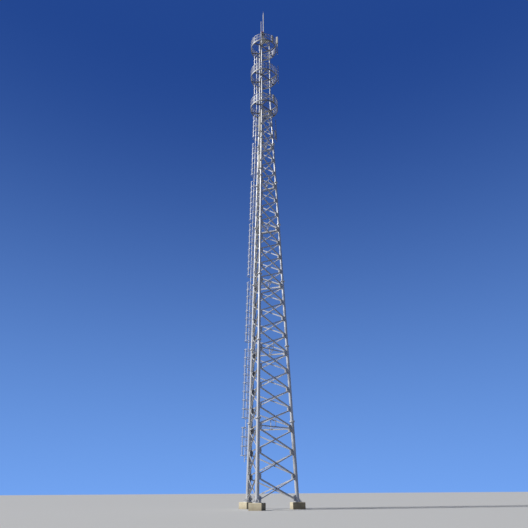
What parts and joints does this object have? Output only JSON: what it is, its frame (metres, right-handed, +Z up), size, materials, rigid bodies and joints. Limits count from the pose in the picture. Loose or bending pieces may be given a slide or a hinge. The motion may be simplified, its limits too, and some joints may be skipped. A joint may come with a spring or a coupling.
{
  "type": "three-legged tubular steel lattice tower for telecom antennas, 1:2 scale model",
  "caption": "Slender three-legged lattice tower on concrete pedestals, with a caged ladder, round antenna platforms and a lightning rod; half of real size.",
  "frame": {"origin": "the middle of the underside of the front concrete pedestal, on the ground", "axes": "Z up; the tower's axis stands at +Y from the origin; seen from that axis, the left leg with the ladder is at 150 degrees from +X, the right leg at 30 degrees"},
  "size_m": [2.2473, 1.9247, 22.35],
  "materials": {
    "galvanised_steel": "hot-dip galvanised, weathered and matt",
    "concrete": "cast concrete, rough",
    "antenna_cover": "matt pale plastic",
    "cable_sheath": "black sheath, matt",
    "lamp_housing": "dark paint",
    "lamp_lens": "red, glossy"
  },
  "bodies": {
    "root": {"footings": "concrete", "base_flanges": "galvanised_steel", "legs_1": "galvanised_steel", "legs_2": "galvanised_steel", "legs_3": "galvanised_steel", "legs_4": "galvanised_steel", "legs_5": "galvanised_steel", "legs_6": "galvanised_steel", "legs_7": "galvanised_steel", "shaft_tubes": "galvanised_steel", "side_front_right": "galvanised_steel", "side_rear": "galvanised_steel", "side_left": "galvanised_steel", "plan_frames": "galvanised_steel", "shaft_bars": "galvanised_steel", "ladder": "galvanised_steel", "cage_1": "galvanised_steel", "cage_2": "galvanised_steel", "cage_3": "galvanised_steel", "cage_4": "galvanised_steel", "cage_5": "galvanised_steel", "cage_6": "galvanised_steel", "cage_7": "galvanised_steel", "cage_8": "galvanised_steel", "cage_9": "galvanised_steel", "deck_1": "galvanised_steel", "deck_arms_1": "galvanised_steel", "deck_2": "galvanised_steel", "deck_arms_2": "galvanised_steel", "deck_3": "galvanised_steel", "deck_arms_3": "galvanised_steel", "railing_1": "galvanised_steel", "railing_2": "galvanised_steel", "railing_3": "galvanised_steel", "feeder_cables": "cable_sheath", "cable_brackets": "galvanised_steel", "antenna_poles": "galvanised_steel", "antenna_panels": "antenna_cover", "railing_panels": "antenna_cover", "top_plate": "galvanised_steel", "lightning_rod": "galvanised_steel", "lamp_body": "lamp_housing", "lamp_lens": "lamp_lens", "whip_antenna": "galvanised_steel"}
  },
  "joints": []
}
